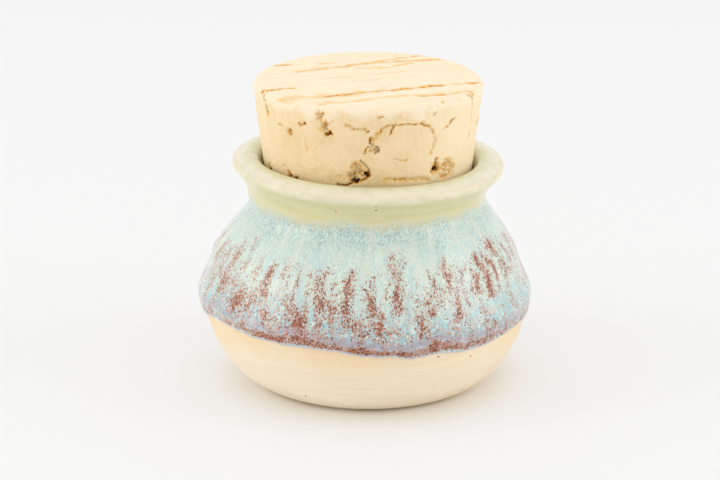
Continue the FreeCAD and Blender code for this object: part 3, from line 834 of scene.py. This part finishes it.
grey = sums(tree, "MULTIPLY", sums(tree, "MULTIPLY", step(tree, fibres, 0.46, 0.54), woody),
            sums(tree, "MINIMUM", step(tree, pitted, 0.22, 0.36), step(tree, pitted, 0.72, 0.52)))
tone = mixed(tree, grey, tone, paint(196, 182, 148))
tone = mixed(tree, step(tree, pit_depth, 0.84, 0.98), tone, paint(34, 16, 0))
tree.links.new(tone, shader.inputs["Base Color"])
shader.inputs["Roughness"].default_value = 0.85
shader.inputs["Specular IOR Level"].default_value = 0.2
shader.inputs["Sheen Weight"].default_value = 0.15
shader.inputs["Sheen Roughness"].default_value = 0.4
bump = add(tree, "ShaderNodeBump", {"Height": cells, "Strength": 0.4, "Distance": 0.0002})
tree.links.new(bump.outputs[0], shader.inputs["Normal"])

cork_stopper = turned_mesh("cork_stopper", np.stack([x, y, z], -1)[::-1], (0, 0, cork_bottom),
                           (0, 0, cork_top), cork)
give(cork_stopper, "pit", spread_on(pit[::-1], 0, 0))
give(cork_stopper, "halo", spread_on(halo[::-1], 0, 0))
give(cork_stopper, "topmost", spread_on(topmost_share[::-1], 0, 1))
give(cork_stopper, "crack", spread_on(crack[::-1], 0, 0))
give(cork_stopper, "golden", spread_on(golden[::-1], 0, 0))
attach(cork_stopper, "root")
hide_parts("cork")


# --- The table, the light and the camera ---
# A pale matt table under an even white surround, with a broad soft light overhead and one at
# each side. Past 26 mm from the middle the table also glows a little, for the camera alone, so
# that it fades into the surround; the surround is brighter for the camera and in reflections.
# The glow rises from nothing at 25.8 mm to full at 30 mm, which leaves a painted contact shadow
# in the ring next to the foot, and within 42 mm of the middle the table and its glow carry a
# painted warm bounce from the clay.

table, tree, shader = new_finish("pale_table")
where = add(tree, "ShaderNodeTexCoord").outputs["Object"]
far = add(tree, "ShaderNodeVectorMath", {0: where}, operation="LENGTH").outputs["Value"]
# Painted bounce light: within 42 mm of the middle, fully within 24 mm, the table and its glow are tinted
# warm, as light thrown off the clay would tint them.
warm_tone_and_bounce = step(tree, far, 0.024, 0.042, 1.0, 0.0)
pale = mixed(tree, warm_tone_and_bounce, (0.92, 0.92, 0.918, 1), (0.92, 0.84, 0.70, 1))
tree.links.new(pale, shader.inputs["Base Color"])
shader.inputs["Roughness"].default_value = 0.9
shader.inputs["Specular IOR Level"].default_value = 0.1
path = add(tree, "ShaderNodeLightPath")
glow_tone = mixed(tree, warm_tone_and_bounce, (0.83, 0.832, 0.832, 1), (0.80, 0.74, 0.64, 1))
glow = add(tree, "ShaderNodeEmission", {"Color": glow_tone, "Strength": 1.0})
# Painted contact shadow: the glow is 0 out to 25.8 mm and rises to 0.35 at 30 mm, so the ring round the
# foot stays dark.
lift = sums(tree, "MULTIPLY", path.outputs["Is Camera Ray"],
            step(tree, far, 0.0258, 0.0300, 0.0, 0.35))
lifted = add(tree, "ShaderNodeMixShader", {0: lift,
                                           1: shader.outputs[0], 2: glow.outputs[0]})
tree.links.new(lifted.outputs[0], tree.nodes["Material Output"].inputs["Surface"])
table_mesh = bpy.data.meshes.new("table")
table_mesh.from_pydata([(-6, -6, 0), (6, -6, 0), (6, 6, 0), (-6, 6, 0)], [], [(0, 1, 2, 3)])
table_mesh.materials.append(table)
table_top = bpy.data.objects.new("table", table_mesh)
bpy.context.scene.collection.objects.link(table_top)

world = bpy.data.worlds.new("white_surround")
bpy.context.scene.world = world
world.use_nodes = True
tree = world.node_tree
surround = tree.nodes["Background"]
path = add(tree, "ShaderNodeLightPath")
seen = sums(tree, "MAXIMUM", path.outputs["Is Camera Ray"], path.outputs["Is Glossy Ray"])
strength = add(tree, "ShaderNodeMapRange", {"Value": seen, "To Min": 0.82, "To Max": 0.93})
surround.inputs["Color"].default_value = (1, 1, 1, 1)
tree.links.new(strength.outputs["Result"], surround.inputs["Strength"])


def soft_light(name, place, size, power):
    """A square area light that faces the middle of the jar."""
    lamp = bpy.data.lights.new(name, "AREA")
    lamp.size = size
    lamp.energy = power
    made = bpy.data.objects.new(name, lamp)
    made.location = place
    aim = (jar_low + jar_high) / 2 - made.location
    made.rotation_euler = aim.to_track_quat("-Z", "Y").to_euler()
    bpy.context.scene.collection.objects.link(made)


soft_light("overhead", (0.0, 0.1, 1.1), 1.2, 2.2)
soft_light("left", (-0.9, -0.2, 0.35), 0.7, 2.4)
soft_light("right", (0.9, -0.2, 0.35), 0.7, 2.15)

tilt_down = math.radians(17.95)
lens = bpy.data.cameras.new("camera")
lens.sensor_width = 36
lens.lens = 150
camera = bpy.data.objects.new("camera", lens)
camera_away = 0.75
aim_height = 0.03527
camera.location = (-0.002, -camera_away * math.cos(tilt_down),
                   aim_height + camera_away * math.sin(tilt_down))
camera.rotation_euler = (math.pi / 2 - tilt_down, 0, 0)
bpy.context.scene.collection.objects.link(camera)
bpy.context.scene.camera = camera
bpy.context.scene.view_settings.view_transform = "Standard"
